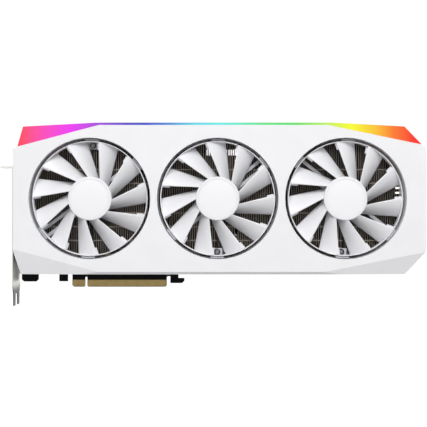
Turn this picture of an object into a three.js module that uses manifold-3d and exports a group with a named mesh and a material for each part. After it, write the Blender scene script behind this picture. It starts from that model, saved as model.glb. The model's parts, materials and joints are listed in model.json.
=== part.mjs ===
// Triple-fan graphics card, in millimetres.
// X runs along the card, away from the bracket. The fans face -Y. Z runs up from the contact edge.
// Origin: middle of the long contact tongue's bottom edge, half way through the board's thickness.
import * as THREE from 'three';
import { mergeVertices } from 'three/addons/utils/BufferGeometryUtils.js';
import Module from 'manifold-3d';

const wasm = await Module();
wasm.setup();

// ---------------------------------------------------------------- driving dimensions

const GAP = 0.3; // clearance between pieces that touch on the real card

// Shroud: outer box, wall and the depth at which its side windows begin.
const SHROUD = { left: -93.9, right: 260.1, bottom: 13.8, top: 144, front: -55, back: -9, wall: 2.2 };
const SHROUD_TOP_WALL = 4.2;
// Past the end of the board the shroud's rim reaches back to the backplate.
const RIM = { left: 156, back: 2.9 };
const SHROUD_FACE = 2.5;
const WINDOW_FRONT = -26;

// Fans: places, radii and depths. All three turn about Y.
const FAN_PITCH = 110;
const FAN_MIDDLE_X = 81.65;
const FAN_Z = 79;
const HOLE_R = 52.2;
const DUCT_WALL = 1.7;
// The duct narrows slightly towards its back end.
const DUCT_BACK = -40;
const DUCT_BACK_R = 52;
const RING_R = 49.5;
const RING_WALL = 1.6;
const HUB_R = 18.9;
const HUB_WALL = 1.4;
const BLADES = 11;
const BLADE_STEP = 360 / BLADES;
const ROTOR_FRONT = -52;
const ROTOR_BACK = -39.6;
const ARM_FRONT = -38.4;
const ARM_BACK = -36.8;
const RIM_R = { inner: 51.3, outer: 54.2 };
const POST = { inner: 50, outer: 51.5, half: 6.5, front: -49 };
const ARM_BAR = { near: 1.9, far: 4.7 }; // each arm is two bars, this far from its middle line
const EAR = { inner: 43, half: 4.6 };
const SHAFT_R = 1.5;
const SHAFT_CLEARANCE = 0.06;
// Each fan: where one blade's leading edge meets the ring, and where the frame's first ear and first
// arm point.
const FANS = [
  { name: 'fan_1', x: FAN_MIDDLE_X - FAN_PITCH, bladeTurn: 15.5, earTurn: 88, armTurn: 216.5 },
  { name: 'fan_2', x: FAN_MIDDLE_X, bladeTurn: 3.4, earTurn: -90.5, armTurn: 38 },
  { name: 'fan_3', x: FAN_MIDDLE_X + FAN_PITCH, bladeTurn: 1.2, earTurn: -93, armTurn: 141.5 },
];

// Circuit board and its contact edge.
const BOARD_HALF = 0.785;
const BOARD = { left: -95, right: 152, bottom: 12, top: 126 };
const LONG_TONGUE = { left: -35.8, right: 35.85 };
const SHORT_TONGUE = { left: -49.35, right: -37.7 };

// Parts on the board. Depths are measured from the board's front face.
const GPU = { x: 22, z: 68, half: 22.5, height: 1.5, dieHalfX: 13, dieHalfZ: 10, dieHeight: 0.7 };
const MEMORY_SIZE = { x: 12, z: 14, height: 1.1 };
const MEMORY_OFFSET = 33.5;

// Cooler, from the board outwards.
const COLD_PLATE = { half: 23.5, back: -3.6, front: -7.5 };
const PIPE_R = 3;
const PIPE_Y = -10.8;
const FIN_BACK = -14.1;
const FIN_FRONT = -34;
const FIN_THICK = 1.2;
const FIN_PITCH = 4.4;
const FIN_BASE = 1.2;
const FIN_BOTTOM = 24;
const FIN_TOP = 136;

// Two-slot bracket.
const BRACKET = { plate: -97.8, thick: 0.8, tab: -109, front: -35.3, back: 3.4, top: 107.3, tip: -15.2 };
const SLOT_PITCH = 20.32;
const TONGUE_WIDTH = 10.19;
const FIRST_TONGUE_Y = -5.8;
const VIDEO_SOCKET_Z = [22, 42, 62, 82];
const VIDEO_SOCKET = { halfZ: 8.3, front: -7.7, back: -1.1, mouth: -98.6, end: -80 };
const SOCKET_SHELL = 0.9;
const NOTCH_HALF = 2.2;
const AIR_SLOTS = { count: 8, firstZ: 38, pitch: 7.4, front: -32, back: -13, rise: 4, tall: 3.4 };

// Backplate and the spring plate behind the GPU.
const BACKPLATE = { front: 3.2, back: 4.7 };
const BACKPLATE_HOLE_R = 3.2;
const BACKPLATE_HOLES = [
  [-82, 26], [-82, 128], [-30, 128], [-30, 26], [60, 128], [60, 26], [140, 128], [140, 26],
  [247, 50], [247, 108],
];
const BACKPLATE_GROOVES = { xs: [76, 84, 92], width: 2.4, lean: 42, depth: 0.6 };
const BACKPLATE_SLOTS = { count: 7, firstX: 168, pitch: 11, width: 6, lean: 8, bottom: 40, top: 118 };
const BACKPLATE_WINDOW_HALF = 29;
const SPRING_PLATE = { front: 1.3, back: 2.5, half: 12, reach: 26, arm: 7 };

// ---------------------------------------------------------------- colours and finishes

const FINISH = {
  white: { color: 0xf3f3f5, roughness: 0.4, metalness: 0 },
  whiteRotor: { color: 0xe9e9ec, roughness: 0.45, metalness: 0 },
  grey: { color: 0x8f9095, roughness: 0.6, metalness: 0 },
  light: { color: 0xf09ad0, roughness: 0.3, metalness: 0 },
  board: { color: 0x141416, roughness: 0.45, metalness: 0 },
  chip: { color: 0x1c1d20, roughness: 0.5, metalness: 0 },
  die: { color: 0x4a4d55, roughness: 0.15, metalness: 0.4 },
  steel: { color: 0xb8b4b0, roughness: 0.35, metalness: 1 },
  aluminium: { color: 0x5c5550, roughness: 0.4, metalness: 1 },
  copper: { color: 0xc98a60, roughness: 0.3, metalness: 1 },
  whitePlastic: { color: 0xf4f4f2, roughness: 0.4, metalness: 0 },
  blackPlastic: { color: 0x1a1a1c, roughness: 0.55, metalness: 0 },
  magnet: { color: 0x3b3b3e, roughness: 0.7, metalness: 0.2 },
};

// ---------------------------------------------------------------- solids

// Closed geometry to a solid, with its faces turned outwards.
function solid(geometry) {
  const bare = geometry.clone();
  bare.deleteAttribute('normal');
  bare.deleteAttribute('uv');
  const merged = mergeVertices(bare, 1e-4);
  const points = Float32Array.from(merged.attributes.position.array);
  const index = merged.index.array;
  const kept = [];
  for (let i = 0; i < index.length; i += 3) {
    const [a, b, c] = [index[i], index[i + 1], index[i + 2]];
    if (a !== b && b !== c && c !== a) kept.push(a, b, c);
  }
  if (signedVolume(points, kept) < 0) {
    for (let i = 0; i < kept.length; i += 3) {
      [kept[i + 1], kept[i + 2]] = [kept[i + 2], kept[i + 1]];
    }
  }
  const mesh = new wasm.Mesh({ numProp: 3, vertProperties: points, triVerts: Uint32Array.from(kept) });
  return new wasm.Manifold(mesh);
}

function signedVolume(points, index) {
  const corner = (n) => new THREE.Vector3(points[3 * n], points[3 * n + 1], points[3 * n + 2]);
  let sum = 0;
  for (let i = 0; i < index.length; i += 3) {
    const [a, b, c] = [corner(index[i]), corner(index[i + 1]), corner(index[i + 2])];
    sum += a.dot(b.cross(c)) / 6;
  }
  return sum;
}

function box(x0, x1, y0, y1, z0, z1) {
  const geometry = new THREE.BoxGeometry(x1 - x0, y1 - y0, z1 - z0);
  geometry.translate((x0 + x1) / 2, (y0 + y1) / 2, (z0 + z1) / 2);
  return solid(geometry);
}

function extruded(points, depth) {
  const shape = new THREE.Shape(points.map(([a, b]) => new THREE.Vector2(a, b)));
  return new THREE.ExtrudeGeometry(shape, { depth, bevelEnabled: false, steps: 1 });
}

// Outline in X and Z, from y0 to y1.
function prismY(points, y0, y1) {
  const geometry = extruded(points, y1 - y0);
  const axes = new THREE.Matrix4().makeBasis(
    new THREE.Vector3(1, 0, 0),
    new THREE.Vector3(0, 0, 1),
    new THREE.Vector3(0, -1, 0),
  );
  geometry.applyMatrix4(axes);
  geometry.translate(0, y1, 0);
  return solid(geometry);
}

// Outline in Y and Z, from x0 to x1.
function prismX(points, x0, x1) {
  const geometry = extruded(points, x1 - x0);
  const axes = new THREE.Matrix4().makeBasis(
    new THREE.Vector3(0, 1, 0),
    new THREE.Vector3(0, 0, 1),
    new THREE.Vector3(1, 0, 0),
  );
  geometry.applyMatrix4(axes);
  geometry.translate(x0, 0, 0);
  return solid(geometry);
}

// Outline in X and Y, from z0 to z1.
function prismZ(points, z0, z1) {
  const geometry = extruded(points, z1 - z0);
  geometry.translate(0, 0, z0);
  return solid(geometry);
}

// Round bar along Y.
function disc(radius, y0, y1, x, z, sides) {
  const geometry = new THREE.CylinderGeometry(radius, radius, y1 - y0, sides);
  geometry.translate(x, (y0 + y1) / 2, z);
  return solid(geometry);
}

// Profile of [radius, y] points, turned about a Y axis through x and z.
function turned(profile, x, z, sides) {
  const geometry = new THREE.LatheGeometry(profile.map(([r, y]) => new THREE.Vector2(r, y)), sides);
  geometry.translate(x, 0, z);
  return solid(geometry);
}

// Ring between two radii, along Y.
function ring(inner, outer, y0, y1, x, z, sides) {
  return turned([[inner, y0], [outer, y0], [outer, y1], [inner, y1], [inner, y0]], x, z, sides);
}

// Big block beyond the plane through a, b and c, on the side of the point outside, moved in by inset.
function beyond([a, b, c], outside, inset) {
  const size = 900;
  const [p, q, r] = [a, b, c].map((v) => new THREE.Vector3(...v));
  const normal = q.clone().sub(p).cross(r.clone().sub(p)).normalize();
  if (new THREE.Vector3(...outside).sub(p).dot(normal) < 0) normal.negate();
  const block = new THREE.BoxGeometry(size, size, size);
  block.translate(0, 0, size / 2 - inset);
  const up = new THREE.Vector3(0, 0, 1);
  block.applyQuaternion(new THREE.Quaternion().setFromUnitVectors(up, normal));
  block.translate(p.x, p.y, p.z);
  return solid(block);
}

// Round cable or pipe along a smooth curve.
function tube(points, radius, sides, steps) {
  const section = new THREE.Shape();
  for (let i = 0; i < sides; i += 1) {
    const angle = (2 * Math.PI * i) / sides;
    const [x, y] = [radius * Math.cos(angle), radius * Math.sin(angle)];
    if (i === 0) section.moveTo(x, y);
    else section.lineTo(x, y);
  }
  section.closePath();
  const route = points.map((p) => new THREE.Vector3(...p));
  const extrudePath = new THREE.CatmullRomCurve3(route, false, 'centripetal');
  return solid(new THREE.ExtrudeGeometry(section, { steps, bevelEnabled: false, extrudePath }));
}

const group = new THREE.Group();
group.name = 'graphics_card';

function place(name, body, finish) {
  const { vertProperties, triVerts } = body.getMesh();
  const geometry = new THREE.BufferGeometry();
  geometry.setAttribute('position', new THREE.BufferAttribute(Float32Array.from(vertProperties), 3));
  geometry.setIndex(new THREE.BufferAttribute(Uint32Array.from(triVerts), 1));
  geometry.computeVertexNormals();
  const mesh = new THREE.Mesh(geometry, new THREE.MeshStandardMaterial(FINISH[finish]));
  mesh.name = name;
  group.add(mesh);
}

const radians = (degrees) => (degrees * Math.PI) / 180;
const around = (x, z, r, turn) => [x + r * Math.cos(radians(turn)), z + r * Math.sin(radians(turn))];

// ---------------------------------------------------------------- shroud and light bar

// Front outline: a long box with its corners cut.
const SHROUD_OUTLINE = [
  [-85.8, 140.9], [-23.4, SHROUD.top], [182, SHROUD.top], [242.3, 141], [SHROUD.right, 121.3],
  [SHROUD.right, 33.5], [243, SHROUD.bottom], [-88.2, SHROUD.bottom], [SHROUD.left, 34],
  [SHROUD.left, 121.4], [-90, 123.6],
];
// Depths that the lower corner facets, the upper corner facets and the bottom band slope back to.
const LOW_CUT_Y = -48;
const HIGH_CUT_Y = -51;
const BAND_CUT_Y = -52.8;
// Each sloping facet: two points where it leaves the front, one deeper in, and the corner it removes.
const FACETS = [
  { front: [[-93.3, 35.5], [-20.9, 16]], deep: [-88.2, LOW_CUT_Y, 13.8], corner: [-93.9, 13.8] },
  { front: [[173.6, 16], [260.1, 33.1]], deep: [243, LOW_CUT_Y, 13.8], corner: [260.1, 13.8] },
  { front: [[-90.2, 123.7], [-20, 142]], deep: [-85.8, HIGH_CUT_Y, 140.9], corner: [-93.9, 144] },
  { front: [[176, 142], [256.1, 125.5]], deep: [242.3, HIGH_CUT_Y, 141], corner: [260.1, 144] },
  { front: [[0, 16], [50, 16]], deep: [0, BAND_CUT_Y, 13.8], corner: [0, 13.8] },
];
// The long air windows stop this far from the shroud's ends.
const WINDOW_MARGIN = { left: 34, right: 36 };
const END_SLOTS = { count: 5, firstZ: 48, pitch: 14, half: 3, front: -40, back: -18 };
const OPEN_END = { bottom: 24, top: 118 };
const LIGHT_DEPTH = 9;
// The light bar fills the front above this line.
const LIGHT_LINE = [[-100, 121.1], [-20, 142.3], [176, 142.3], [265, 123.7]];

// Cuts every sloping facet off the body, moved in by inset.
function cutFacets(body, inset) {
  const onFront = ([x, z]) => [x, SHROUD.front, z];
  let left = body;
  for (const { front, deep, corner } of FACETS) {
    left = left.subtract(beyond([...front.map(onFront), deep], onFront(corner), inset));
  }
  return left;
}

function shroudEnvelope() {
  let body = prismY(SHROUD_OUTLINE, SHROUD.front, RIM.back);
  body = body.subtract(box(SHROUD.left - 5, RIM.left, SHROUD.back, RIM.back + 5, 0, SHROUD.top + 5));
  return cutFacets(body, 0);
}

function lightRegion(drop, back) {
  const line = LIGHT_LINE.map(([x, z]) => [x, z - drop]);
  return prismY([...line, [265, 200], [-100, 200]], SHROUD.front - 10, back);
}

function shroudCavity() {
  const { left, right, bottom, top, front, wall } = SHROUD;
  const outline = [
    [left + wall, 33], [-86, bottom + wall], [241.5, bottom + wall], [right - wall, 34.5],
    [right - wall, 120], [240, top - SHROUD_TOP_WALL], [-86, top - SHROUD_TOP_WALL], [left + wall, 122],
  ];
  return cutFacets(prismY(outline, front + SHROUD_FACE, RIM.back + 5), wall);
}

function makeShroud() {
  const { left, right, bottom, top, front, back } = SHROUD;
  let body = shroudEnvelope();
  body = body.subtract(lightRegion(GAP, front + LIGHT_DEPTH + GAP));
  body = body.subtract(shroudCavity());
  for (const fan of FANS) {
    const outer = HOLE_R + DUCT_WALL;
    body = body.add(ring(HOLE_R - 2, outer, front + 0.5, DUCT_BACK, fan.x, FAN_Z, 48));
    const bore = [
      [0, front - 5], [HOLE_R, front - 5], [HOLE_R, front], [DUCT_BACK_R, DUCT_BACK],
      [DUCT_BACK_R, DUCT_BACK + 5], [0, DUCT_BACK + 5],
    ];
    body = body.subtract(turned(bore, fan.x, FAN_Z, 48));
  }
  // Long air windows along the bottom and the top, and an open end towards the bracket.
  const [windowLeft, windowRight] = [left + WINDOW_MARGIN.left, right - WINDOW_MARGIN.right];
  for (const [low, high] of [[bottom - 5, bottom + 8], [top - 8, top + 5]]) {
    body = body.subtract(box(windowLeft, windowRight, WINDOW_FRONT, back, low, high));
  }
  const endFront = BRACKET.front + 1.3;
  const endBack = RIM.back + 5;
  body = body.subtract(box(left - 5, left + 8, endFront, endBack, OPEN_END.bottom, OPEN_END.top));
  // Air slots in the far end.
  for (let i = 0; i < END_SLOTS.count; i += 1) {
    const z = END_SLOTS.firstZ + END_SLOTS.pitch * i;
    const [low, high] = [z - END_SLOTS.half, z + END_SLOTS.half];
    body = body.subtract(box(right - 5, right + 5, END_SLOTS.front, END_SLOTS.back, low, high));
  }
  place('shroud', body, 'white');
}

function makeLightBar() {
  const body = shroudEnvelope().intersect(lightRegion(0, SHROUD.front + LIGHT_DEPTH));
  place('light_diffuser', body, 'light');
  const back = SHROUD.front + LIGHT_DEPTH + GAP;
  place('light_board', box(-60, 215, back, back + 1.2, 134, 139), 'board');
}

// ---------------------------------------------------------------- fans

// A blade's leading edge lies this far behind its tip at the root, and its chord in degrees.
const BLADE_SWEEP = 18.5;
const ROOT_CHORD = 27.5;
const TIP_CHORD = 19.7;
// How far back a blade's middle lies, as a share of the depth from its leading to its trailing edge.
const CAMBER = 0.34;

// One blade between the hub and the ring: a bent plate with straight leading and trailing edges,
// whose leading edge is nearest the front. Each section has six corners.
function blade(fan, turn) {
  const spans = 3;
  const [rootR, tipR] = [HUB_R - 0.6, RING_R - 0.4];
  const [leadY, trailY] = [ROTOR_FRONT + 1.2, ROTOR_BACK - 1.2];
  const edge = (rootTurn, tipTurn) => {
    const [x0, z0] = around(fan.x, FAN_Z, rootR, rootTurn);
    const [x1, z1] = around(fan.x, FAN_Z, tipR, tipTurn);
    return (u) => [x0 + (x1 - x0) * u, z0 + (z1 - z0) * u];
  };
  const lead = edge(turn - BLADE_SWEEP, turn);
  const trail = edge(turn - BLADE_SWEEP - ROOT_CHORD, turn - TIP_CHORD);
  const points = [];
  for (let i = 0; i <= spans; i += 1) {
    const u = i / spans;
    const thick = 1.5 - 0.4 * u;
    const [leadX, leadZ] = lead(u);
    const [trailX, trailZ] = trail(u);
    const [middleX, middleZ] = [(leadX + trailX) / 2, (leadZ + trailZ) / 2];
    const middleY = leadY + (trailY - thick - leadY) * CAMBER;
    points.push(leadX, leadY, leadZ, leadX, leadY + thick, leadZ);
    points.push(middleX, middleY + thick, middleZ, trailX, trailY, trailZ);
    points.push(trailX, trailY - thick, trailZ, middleX, middleY, middleZ);
  }
  const index = [0, 1, 2, 0, 2, 5, 5, 2, 3, 5, 3, 4];
  for (let i = 0; i < spans; i += 1) {
    for (let k = 0; k < 6; k += 1) {
      const [a, b] = [6 * i + k, 6 * i + ((k + 1) % 6)];
      index.push(a, a + 6, b, b, a + 6, b + 6);
    }
  }
  const end = 6 * spans;
  index.push(end, end + 2, end + 1, end, end + 5, end + 2);
  index.push(end + 5, end + 3, end + 2, end + 5, end + 4, end + 3);
  const geometry = new THREE.BufferGeometry();
  geometry.setAttribute('position', new THREE.BufferAttribute(new Float32Array(points), 3));
  geometry.setIndex(index);
  return solid(geometry);
}

function makeRotor(fan) {
  const [front, back] = [ROTOR_FRONT, ROTOR_BACK];
  const inner = HUB_R - HUB_WALL;
  const boss = SHAFT_R + 0.05;
  // Hub cup: a shallow seat for the cap in front, a boss for the shaft inside.
  const hub = turned([
    [0, front + 0.8], [16.4, front + 0.8], [16.4, front], [HUB_R - 0.8, front], [HUB_R, front + 0.8],
    [HUB_R, back], [inner, back], [inner, front + 2.4], [3.6, front + 2.4], [3.6, front + 4.4],
    [boss, front + 4.4], [boss, front + 2], [0, front + 2],
  ], fan.x, FAN_Z, 20);
  let body = hub.add(ring(RING_R - RING_WALL, RING_R, front + 0.6, back - 1, fan.x, FAN_Z, 44));
  for (let i = 0; i < BLADES; i += 1) body = body.add(blade(fan, fan.bladeTurn + i * BLADE_STEP));
  place(`${fan.name}_rotor`, body, 'whiteRotor');
}

// Outline along a spoke: from r0 to r1, and from side0 to side1 across it.
function spoke(fan, turn, r0, r1, side0, side1) {
  const [outX, outZ] = around(0, 0, 1, turn);
  const at = (r, side) => [fan.x + r * outX - side * outZ, FAN_Z + r * outZ + side * outX];
  return [at(r0, side0), at(r1, side0), at(r1, side1), at(r0, side1)];
}

// Piece of a ring that spans the given half angle on each side of turn.
function arcBlock(fan, turn, half, inner, outer) {
  const points = [];
  for (const offset of [-half, 0, half]) points.push(around(fan.x, FAN_Z, inner, turn + offset));
  for (const offset of [half, 0, -half]) points.push(around(fan.x, FAN_Z, outer, turn + offset));
  return points;
}

function makeFanFrame(fan) {
  let body = disc(17.6, ARM_FRONT, ARM_BACK, fan.x, FAN_Z, 20);
  body = body.add(turned([
    [0, ARM_BACK], [4.6, ARM_BACK], [4.6, -47], [3.3, -47], [3.3, -39.3], [0, -39.3],
  ], fan.x, FAN_Z, 24));
  body = body.add(ring(RIM_R.inner, RIM_R.outer, ARM_FRONT, ARM_BACK, fan.x, FAN_Z, 40));
  for (const half of [0, 180]) {
    // An arm of two parallel bars from the motor base to the rim.
    const arm = fan.armTurn + half;
    for (const side of [-1, 1]) {
      const bar = spoke(fan, arm, 14, RIM_R.inner + 0.5, side * ARM_BAR.near, side * ARM_BAR.far);
      body = body.add(prismY(bar, ARM_FRONT, ARM_BACK));
    }
    // An ear on the rim for a screw.
    const ear = fan.earTurn + half;
    const plate = spoke(fan, ear, EAR.inner, RIM_R.inner + 0.5, -EAR.half, EAR.half);
    body = body.add(prismY(plate, ARM_FRONT, ARM_BACK));
    // Posts that come forward into the duct at the ends of the arms and behind the ears.
    for (const turn of [arm, ear]) {
      const post = arcBlock(fan, turn, POST.half, POST.inner, POST.outer);
      body = body.add(prismY(post, POST.front, ARM_BACK));
    }
  }
  place(`${fan.name}_frame`, body, 'grey');
}

function makeMotor(fan) {
  const bore = SHAFT_R + SHAFT_CLEARANCE;
  place(`${fan.name}_bearing`, ring(bore, 3, -46.7, -39.7, fan.x, FAN_Z, 24), 'steel');
  place(`${fan.name}_shaft`, disc(SHAFT_R, -49.7, -39.7, fan.x, FAN_Z, 24), 'steel');
  place(`${fan.name}_magnet_ring`, ring(15.4, 17.1, -49.2, -41, fan.x, FAN_Z, 20), 'magnet');
  place(`${fan.name}_hub_cap`, disc(16, ROTOR_FRONT, ROTOR_FRONT + 0.5, fan.x, FAN_Z, 32), 'white');
  // Stator: a winding ring with four poles.
  let stator = ring(4.9, 8, -46.4, -39.6, fan.x, FAN_Z, 12);
  for (let i = 0; i < 4; i += 1) {
    const turn = 45 + 90 * i;
    const pole = [
      around(fan.x, FAN_Z, 7.4, turn - 26), around(fan.x, FAN_Z, 13.8, turn - 34),
      around(fan.x, FAN_Z, 14.8, turn), around(fan.x, FAN_Z, 13.8, turn + 34),
      around(fan.x, FAN_Z, 7.4, turn + 26),
    ];
    stator = stator.add(prismY(pole, -45.6, -40.4));
  }
  place(`${fan.name}_stator`, stator, 'copper');
}

// Each cable leaves the motor base, drops past the fins and runs back to its header on the board.
const CABLE_R = 1;
const CABLE_Y = ARM_BACK + GAP + CABLE_R;
const CABLE_LOW_Z = 19.6;
const HEADER = { halfX: 5, halfZ: 2.4, front: -6.5, back: -BOARD_HALF - GAP };
const HEADER_Z = 18;
const HEADER_X = [-24, 84, 141];

function makeCable(fan, headerX) {
  const headerFront = HEADER.front - GAP;
  const route = [
    [fan.x, CABLE_Y, FAN_Z - 8], [fan.x, CABLE_Y, 50], [fan.x, CABLE_Y, 34], [fan.x, CABLE_Y, 27],
    [fan.x, CABLE_Y + 0.6, CABLE_LOW_Z + 3.4], [fan.x, CABLE_Y + 3, CABLE_LOW_Z + 1],
    [fan.x, CABLE_Y + 8, CABLE_LOW_Z],
  ];
  const reach = headerX - fan.x;
  route.push([fan.x + reach * 0.3, -22, CABLE_LOW_Z]);
  route.push([fan.x + reach * 0.8, -13, CABLE_LOW_Z - 0.6]);
  route.push([headerX, headerFront - 3, HEADER_Z], [headerX, headerFront, HEADER_Z]);
  place(`${fan.name}_cable`, tube(route, CABLE_R, 8, 24), 'blackPlastic');
  const { halfX, halfZ, front, back } = HEADER;
  const header = box(headerX - halfX, headerX + halfX, front, back, HEADER_Z - halfZ, HEADER_Z + halfZ);
  place(`${fan.name}_header`, header, 'whitePlastic');
}

// ---------------------------------------------------------------- circuit board and its parts

function makeBoard() {
  const { left, right, bottom, top } = BOARD;
  const outline = [
    [left, top - 14], [left + 6, top - 14], [left + 6, top], [right, top], [right, bottom],
    // Retention hook.
    [46.4, bottom], [46.4, 7.9], [51.8, 7.9], [51.8, 5.4], [49.8, 3.3], [39.1, 3.3], [39.1, 9.5],
    [36.9, 9.5],
    // Contact tongues with their lead-in corners and the key notch between them.
    [LONG_TONGUE.right, 8.5], [LONG_TONGUE.right, 1.2], [LONG_TONGUE.right - 1.2, 0],
    [LONG_TONGUE.left + 0.8, 0], [LONG_TONGUE.left, 0.8], [LONG_TONGUE.left, 8.2],
    [-36.3, 9], [-37.2, 9],
    [SHORT_TONGUE.right, 8.2], [SHORT_TONGUE.right, 0.8], [SHORT_TONGUE.right - 0.8, 0],
    [SHORT_TONGUE.left + 1.2, 0], [SHORT_TONGUE.left, 1.2], [SHORT_TONGUE.left, bottom],
    // Small block and the tab next to the bracket.
    [-53.3, bottom], [-53.3, 4.9], [-61.2, 4.9], [-61.2, bottom],
    [-79.8, bottom], [-79.8, 6.7], [-81.8, 4.7], [-93, 4.7], [left, 6.7],
  ];
  place('circuit_board', prismY(outline, -BOARD_HALF, BOARD_HALF), 'board');
}

function onBoard(x, z, halfX, halfZ, height) {
  const back = -BOARD_HALF - GAP;
  return box(x - halfX, x + halfX, back - height, back, z - halfZ, z + halfZ);
}

function makeChips() {
  place('gpu_package', onBoard(GPU.x, GPU.z, GPU.half, GPU.half, GPU.height), 'chip');
  const back = -BOARD_HALF - 2 * GAP - GPU.height;
  const die = box(
    GPU.x - GPU.dieHalfX, GPU.x + GPU.dieHalfX, back - GPU.dieHeight, back,
    GPU.z - GPU.dieHalfZ, GPU.z + GPU.dieHalfZ,
  );
  place('gpu_die', die, 'die');
  // Three chips on the right, three on the left and two above the GPU.
  const spots = [];
  for (const side of [-1, 1]) {
    for (const row of [-1, 0, 1]) spots.push([GPU.x + side * MEMORY_OFFSET, GPU.z + row * 17]);
  }
  spots.push([GPU.x - 9, GPU.z + MEMORY_OFFSET], [GPU.x + 9, GPU.z + MEMORY_OFFSET]);
  spots.forEach(([x, z], i) => {
    const chip = onBoard(x, z, MEMORY_SIZE.x / 2, MEMORY_SIZE.z / 2, MEMORY_SIZE.height);
    place(`memory_chip_${i + 1}`, chip, 'chip');
  });
  for (let i = 0; i < 2; i += 1) {
    place(`choke_${i + 1}`, onBoard(88, 58 + 13 * i, 4.5, 4.5, 5), 'chip');
  }
}

// Power sockets stand at the top edge and open upwards, with eight pin wells each.
const POWER_SOCKET_X = [80.7, 100.5];
const POWER_SOCKET = { halfX: 9.3, front: -11, back: -1.1, bottom: 118.5, top: 137 };
const WELL = { pitch: 4.2, half: 1.7, depth: 10 };

function makePowerSockets() {
  const { halfX, front, back, bottom, top } = POWER_SOCKET;
  const { pitch, half, depth } = WELL;
  const middleY = (front + back) / 2;
  POWER_SOCKET_X.forEach((x, n) => {
    let body = box(x - halfX, x + halfX, front, back, bottom, top);
    for (let i = 0; i < 4; i += 1) {
      for (const row of [-0.5, 0.5]) {
        const [wellX, wellY] = [x + pitch * (i - 1.5), middleY + row * pitch];
        const well = box(wellX - half, wellX + half, wellY - half, wellY + half, top - depth, top + 1);
        body = body.subtract(well);
      }
    }
    place(`power_socket_${n + 1}`, body, 'whitePlastic');
  });
}

function makeVideoSockets() {
  const { halfZ, front, back, mouth, end } = VIDEO_SOCKET;
  const middleY = (front + back) / 2;
  VIDEO_SOCKET_Z.forEach((z, i) => {
    let body = box(mouth, end, front, back, z - halfZ, z + halfZ);
    const [low, high] = [z - halfZ + SOCKET_SHELL, z + halfZ - SOCKET_SHELL];
    body = body.subtract(box(mouth - 1, mouth + 11, front + SOCKET_SHELL, back - SOCKET_SHELL, low, high));
    // Contact tongue inside.
    body = body.add(box(mouth + 1.5, mouth + 12, middleY - 0.5, middleY + 0.5, low + 1.5, high - 1.5));
    place(`video_socket_${i + 1}`, body, 'steel');
  });
}

// ---------------------------------------------------------------- cooler

function makeColdPlate() {
  const { half, back, front } = COLD_PLATE;
  place('cold_plate', box(GPU.x - half, GPU.x + half, front, back, GPU.z - half, GPU.z + half), 'copper');
  // Aluminium frame that presses on the memory chips, open around the GPU.
  const [outer, inner] = [44, 25];
  let plate = box(GPU.x - outer, GPU.x + outer, -3.9, -2.7, GPU.z - outer + 4, GPU.z + outer + 2);
  plate = plate.subtract(box(GPU.x - inner, GPU.x + inner, -6, 0, GPU.z - inner, GPU.z + inner));
  place('memory_plate', plate, 'aluminium');
}

function makeFinStack(name, left, right) {
  const count = Math.floor((right - left - FIN_THICK) / FIN_PITCH);
  const outline = [[left, FIN_BACK], [left, FIN_FRONT]];
  for (let i = 0; i < count; i += 1) {
    const x = left + i * FIN_PITCH;
    outline.push([x + FIN_THICK, FIN_FRONT], [x + FIN_THICK, FIN_BACK - FIN_BASE]);
    outline.push([x + FIN_PITCH, FIN_BACK - FIN_BASE], [x + FIN_PITCH, FIN_FRONT]);
  }
  const end = left + count * FIN_PITCH + FIN_THICK;
  outline.push([end, FIN_FRONT], [end, FIN_BACK]);
  place(name, prismZ(outline, FIN_BOTTOM, FIN_TOP), 'aluminium');
}

function makeHeatPipes() {
  // Four pipes cross the cold plate side by side and spread out under the fins.
  [-1.5, -0.5, 0.5, 1.5].forEach((slot, i) => {
    const near = GPU.z + slot * 8;
    const far = FAN_Z + slot * 22;
    const route = [
      [-80, PIPE_Y, far], [-50, PIPE_Y, far], [-12, PIPE_Y, near], [GPU.x, PIPE_Y, near],
      [56, PIPE_Y, near], [100, PIPE_Y, far], [170, PIPE_Y, far], [238, PIPE_Y, far],
    ];
    place(`heat_pipe_${i + 1}`, tube(route, PIPE_R, 8, 18), 'copper');
  });
}

// ---------------------------------------------------------------- bracket and backplate

function makeBracket() {
  const { plate, thick, tab, front, back, top, tip } = BRACKET;
  const half = TONGUE_WIDTH / 2;
  const firstY = FIRST_TONGUE_Y;
  const secondY = FIRST_TONGUE_Y - SLOT_PITCH;
  const outline = [
    [back, top], [back, 2.5], [firstY + half, -4.2], [firstY + half - 0.8, tip], [firstY - half + 0.8, tip],
    [firstY - half, -4.8], [secondY + half, -4.8], [secondY + half - 0.8, tip], [secondY - half + 0.8, tip],
    [secondY - half, -4.2], [front, 2.5], [front, top],
  ];
  let body = prismX(outline, plate, plate + thick);
  body = body.add(box(tab, plate + thick, front, back, top - 1, top));
  // Open screw notches in the tab.
  for (const y of [firstY, secondY]) {
    body = body.subtract(box(tab - 1, tab + 6, y - NOTCH_HALF, y + NOTCH_HALF, top - 3, top + 2));
  }
  // Socket windows, then slanting air slots in the second slot.
  const clear = 0.4;
  const [windowFront, windowBack] = [VIDEO_SOCKET.front - clear, VIDEO_SOCKET.back + clear];
  const windowHalf = VIDEO_SOCKET.halfZ + clear;
  for (const z of VIDEO_SOCKET_Z) {
    const [low, high] = [z - windowHalf, z + windowHalf];
    body = body.subtract(box(plate - 1, plate + 2, windowFront, windowBack, low, high));
  }
  const air = AIR_SLOTS;
  for (let i = 0; i < air.count; i += 1) {
    const z = air.firstZ + air.pitch * i;
    const slot = [
      [air.front, z], [air.back, z + air.rise],
      [air.back, z + air.rise + air.tall], [air.front, z + air.tall],
    ];
    body = body.subtract(prismX(slot, plate - 1, plate + 2));
  }
  // Two ears behind the board take the screws that hold the bracket.
  const earFront = BOARD_HALF + GAP;
  for (const z of [12, 96]) {
    body = body.add(box(plate + 0.2, -86, earFront, earFront + thick, z, z + 9));
  }
  place('io_bracket', body, 'steel');
}

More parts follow.
